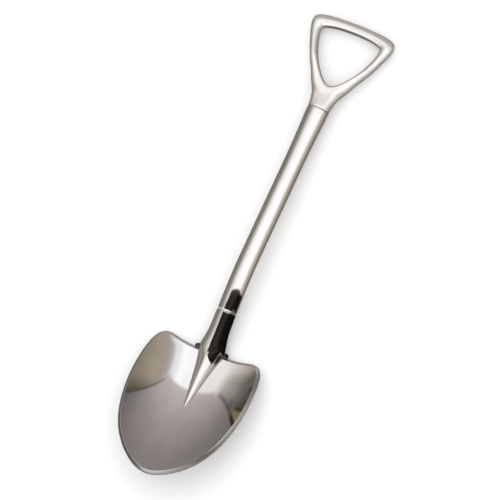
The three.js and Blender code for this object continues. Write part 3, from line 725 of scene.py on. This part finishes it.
world = bpy.data.worlds.new("studio")
bpy.context.scene.world = world
world.use_nodes = True
wn = world.node_tree
wn.nodes.clear()
g = Graph(wn)
wo = wn.nodes.new("ShaderNodeOutputWorld")
wc = wn.nodes.new("ShaderNodeTexCoord")
ws = wn.nodes.new("ShaderNodeSeparateXYZ")
wn.links.new(wc.outputs["Generated"], ws.inputs[0])
x, y, z = ws.outputs[0], ws.outputs[1], ws.outputs[2]
azimuth = g.mul(g.math("ARCTAN2", x, z), 180 / math.pi)
sky = g.ramp(azimuth, [(a, light(c, k)) for a, c, k in SWEEP], -180, 180)
sky = g.mix(sky, light((232, 229, 235)), g.mul(g.step(0.02, 0.10, x), g.step(0.34, 0.40, y)))
low_front = g.mul(g.step(-0.70, -0.85, y), g.step(-0.15, 0.0, z))
sky = g.mix(sky, light((255, 255, 255), 1.2), low_front)
sky = g.mix(sky, light((62, 57, 50)), g.mul(g.step(-0.30, -0.60, y), g.step(-0.40, -0.65, z)))
room = g.ramp(azimuth, [(a, light(c)) for a, c in ROOM], -105, -20)
far = g.mul(g.step(0.33, 0.38, y), g.step(-24, -32, azimuth), g.step(-112, -100, azimuth))
sky = g.mix(sky, room, far)
wall = g.ramp(x, [(p, light(c)) for p, c in ((0.18, (180, 175, 172)), (0.3, (160, 151, 142)), (0.43, (161, 149, 135)),
                                             (0.6, (146, 139, 121)), (0.72, (134, 126, 113)))], 0.0, 1.0)
wall = g.mix(wall, light((84, 70, 57)), g.step(0.50, 0.66, y))
sky = g.mix(sky, wall, g.mul(g.step(0.395, 0.435, y), g.step(0.12, 0.22, x)))
# the card: inside three planes
side = lambda a, b, c, d: g.mul(g.add(g.mul(x, a), g.mul(y, b), g.mul(z, c)), 1 / d)
bend = g.ramp(azimuth, [(p, (v + 0.05,) * 3) for p, v in ((-100, 0.030), (-92, 0.020), (-86, 0.011), (-80, 0.001), (-74, -0.009),
                                                          (-68, -0.015), (-62, -0.018), (-56, -0.0175), (-50, -0.015), (-44, -0.005),
                                                          (-38, 0.007), (-35.5, 0.009), (-31, 0.003), (-25, 0.0))], -105, 40)
bend = g.add(bend, -0.05)
inside = g.math("MINIMUM", g.math("MINIMUM", side(0.276, 0.567, -0.117, 0.641), side(0.016, 0.402, -0.215, 0.456)),
                side(-0.379, 0.50, -0.205, 0.660))
inside = g.add(inside, g.mul(bend, -1.0))
# things behind the card on the left: a tan strip, a dark one beyond it, and the card's dark end
sky = g.mix(sky, (0, 0, 0), g.mul(g.step(-0.044, -0.027, inside), g.step(-38, -45, azimuth), g.step(-74, -66, azimuth), far, 0.27))
beyond = g.add(inside, 0.032, g.mul(g.add(azimuth, 74), -0.00175))
sky = g.mix(sky, light((124, 112, 90)), g.mul(g.step(-70, -76, azimuth), g.step(0.002, 0.009, beyond), far, 0.95))
sky = g.mix(sky, light((46, 38, 33)), g.mul(g.step(-73, -80, azimuth), g.step(-0.011, -0.004, beyond), g.step(0.006, 0.001, beyond), far, 0.9))
edge = g.mul(g.step(-0.018, -0.008, inside), g.step(0.006, -0.004, inside),
             g.add(g.step(0.12, 0.45, g.add(x, 0.1)), g.step(-0.56, -0.68, x)), 0.8)
sky = g.mix(sky, light((62, 52, 44)), edge)
sky = g.mix(sky, light((34, 27, 25)), g.mul(g.step(-0.024, -0.014, inside), g.step(0.010, 0.0, inside), g.step(-72, -84, azimuth), far))
# its tone falls off upwards, to the sides and below the horizon
across = g.ramp(x, [(p, (v,) * 3) for p, v in ((-1, 0.20), (-0.9, 0.286), (-0.8, 0.407), (-0.7, 0.543), (-0.55, 0.713), (-0.4, 0.862),
                                               (-0.25, 0.948), (-0.1, 1.0), (0.05, 0.94), (0.2, 0.842), (0.35, 0.729), (0.5, 0.555),
                                               (0.65, 0.358), (0.8, 0.243))], -1.0, 1.0)
up = g.ramp(y, [(p, (v,) * 3) for p, v in ((0.4, 0.523), (0.5, 0.451), (0.6, 0.394), (0.7, 0.325), (0.8, 0.276), (0.9, 0.233), (1.0, 0.187))],
            0.0, 1.0)
tone = g.mul(across, up, g.add(1.0, g.mul(g.step(-0.2, -0.6, z), -0.45)))
card = g.mix((0, 0, 0), tuple(float(v) for v in np.array([1.16, 1.035, 1.015]) / STEEL_BASE), tone)
sky = g.mix(sky, card, g.step(-0.006, 0.012, inside))

lp = wn.nodes.new("ShaderNodeLightPath")
seen = wn.nodes.new("ShaderNodeBackground")
wn.links.new(sky, seen.inputs["Color"])
plain = wn.nodes.new("ShaderNodeBackground")
plain.inputs["Color"].default_value = (1, 1, 1, 1)
floor_light = g.math("ADD", 1.0, g.mul(lp.outputs["Is Diffuse Ray"], 0.32))
wn.links.new(floor_light, plain.inputs["Strength"])
both = wn.nodes.new("ShaderNodeMixShader")
wn.links.new(lp.outputs["Is Glossy Ray"], both.inputs[0])
wn.links.new(plain.outputs[0], both.inputs[1])
wn.links.new(seen.outputs[0], both.inputs[2])
wn.links.new(both.outputs[0], wo.inputs[0])


# ---------------------------------------------------------------- black flags
# Photographer's flags beside the bench, seen only as reflections; their edges are feathered.
def flag(name, centre, u, v, area, colour, soft, slant=0.0, one_sided=False, streaks=0.0):
    """area is (a0, a1, b0, b1) in units of u and v; soft is how far inside each edge the flag is full; slant lowers the top edge along u."""
    c, u, v = (np.array(q, float) for q in (centre, u, v))
    a0, a1, b0, b1 = area
    top = b1 + abs(slant) * max(abs(a0), abs(a1))
    me = bpy.data.meshes.new(name)
    corners = ((a0, b0), (a1, b0), (a1, top), (a0, top))
    me.from_pydata([tuple(c + a * u + b * v) for a, b in corners], [], [(0, 1, 2, 3)])
    uv = me.uv_layers.new(name="flag")
    for i, q in enumerate(((0, 0), (1, 0), (1, 1), (0, 1))):
        uv.data[i].uv = q
    ob = bpy.data.objects.new(name, me)
    bpy.context.scene.collection.objects.link(ob)
    mat = bpy.data.materials.new(name)
    mat.use_nodes = True
    nt = mat.node_tree
    nt.nodes.clear()
    h = Graph(nt)
    tc = nt.nodes.new("ShaderNodeTexCoord")
    sp = nt.nodes.new("ShaderNodeSeparateXYZ")
    nt.links.new(tc.outputs["UV"], sp.inputs[0])
    a = h.add(h.mul(sp.outputs[0], a1 - a0), a0)
    b = h.add(h.mul(sp.outputs[1], top - b0), b0)
    lid = h.add(b, h.mul(a, slant))
    m = h.mul(h.step(a0, a0 + soft[0], a), h.step(a1, a1 - soft[1], a), h.step(b0, b0 + soft[2], b), h.step(b1, b1 - soft[3], lid))
    if one_sided:
        m = h.mul(m, nt.nodes.new("ShaderNodeNewGeometry").outputs["Backfacing"])
    em = nt.nodes.new("ShaderNodeEmission")
    em.inputs[0].default_value = (*light(colour), 1)
    if streaks:
        comb = nt.nodes.new("ShaderNodeCombineXYZ")
        nt.links.new(h.mul(a, 5.0), comb.inputs[0])
        nt.links.new(h.mul(b, 1.1), comb.inputs[1])
        tex = nt.nodes.new("ShaderNodeTexNoise")
        tex.inputs["Scale"].default_value = 1.0
        tex.inputs["Detail"].default_value = 3.0
        nt.links.new(comb.outputs[0], tex.inputs["Vector"])
        k = nt.nodes.new("ShaderNodeMapRange")
        for i, v in ((1, 0.36), (2, 0.64), (3, 1.0 - streaks), (4, 1.0 + streaks)):
            k.inputs[i].default_value = v
        nt.links.new(tex.outputs["Fac"], k.inputs[0])
        nt.links.new(k.outputs[0], em.inputs["Strength"])
    tr = nt.nodes.new("ShaderNodeBsdfTransparent")
    mx = nt.nodes.new("ShaderNodeMixShader")
    o = nt.nodes.new("ShaderNodeOutputMaterial")
    nt.links.new(m, mx.inputs[0])
    nt.links.new(tr.outputs[0], mx.inputs[1])
    nt.links.new(em.outputs[0], mx.inputs[2])
    nt.links.new(mx.outputs[0], o.inputs[0])
    me.materials.append(mat)
    ob.visible_camera = ob.visible_diffuse = ob.visible_shadow = False
    ob.visible_transmission = ob.visible_volume_scatter = False
    return ob


UP3 = ((1, 0, 0), (0, 1, 0))
SIDE3 = ((0, 1, 0), (0, 0, 1))
FRONT3 = ((1, 0, 0), (0, 0, 1))
flag("flag_front", (0.40, -0.356, 0.877), (0.75, 0, 0), (0, 0.215, -0.269), (-1.12, 1.1, -1.0, 0.87), (42, 39, 36), (0.12, 0.04, 0.2, 0.04), -0.03, streaks=0.9)
flag("flag_above", (0, 0, 1.3), *UP3, (-0.68, 5.0, -0.40, -0.178), (46, 42, 40), (0.14, 0.5, 0.04, 0.014), -0.027)
flag("flag_far", (1.0, 0, 0), *SIDE3, (-0.9, -0.19, 0.2, 1.9), (20, 17, 15), (0.12, 0.05, 0.12, 0.2))
flag("flag_side_low", (0.032, 0, 0), *SIDE3, (-0.158, -0.088, -0.030, 0.062), (16, 14, 12), (0.006, 0.004, 0.02, 0.014), one_sided=True)
flag("flag_side_high", (0.032, 0, 0), *SIDE3, (-0.094, -0.063, 0.008, 0.058), (20, 18, 16), (0.004, 0.006, 0.004, 0.012), one_sided=True)
# a pale board just past the crossbar
flag("board_end", (0, 0.366, 0), *FRONT3, (-0.30, 0.30, 0.007, 0.09), (158, 149, 143), (0.05, 0.05, 0.007, 0.03))
flag("board_inside", (0, 0.300, 0), (-1, 0, 0), (0, 0, 1), (-0.30, 0.30, 0.022, 0.105), (245, 238, 232), (0.05, 0.05, 0.012, 0.03), one_sided=True)

sc = bpy.context.scene
sc.view_settings.view_transform = "Standard"
sc.view_settings.look = "None"
sc.view_settings.exposure = 0.0
sc.view_settings.gamma = 1.0

# ---------------------------------------------------------------- camera
cam = bpy.data.cameras.new("photo_view")
cam_ob = bpy.data.objects.new("photo_view", cam)
sc.collection.objects.link(cam_ob)
RIGHT = np.array([0.89754, 0.40309, -0.17871])
UP = np.array([-0.35481, 0.90089, 0.25003])
BACK = np.array([0.26179, -0.16100, 0.95160])
CAM_DIST, CAM_F, CAM_X, CAM_Y = 11.622, 714.353, 0.00469144, 0.00207794
c0 = np.array([RIGHT[2], UP[2], BACK[2]]) * 0.03
loc = RIGHT * (c0[0] - CAM_X) + UP * (c0[1] - CAM_Y) + BACK * (c0[2] + CAM_DIST)
m = Matrix.Identity(4)
for i in range(3):
    m[i][0], m[i][1], m[i][2], m[i][3] = RIGHT[i], UP[i], BACK[i], loc[i] + (0.000765 if i == 1 else 0.0)
cam_ob.matrix_world = m
cam.sensor_width = 36.0
cam.lens = CAM_F * CAM_DIST / 500.0 * 36.0
cam.clip_end = 100.0
sc.camera = cam_ob
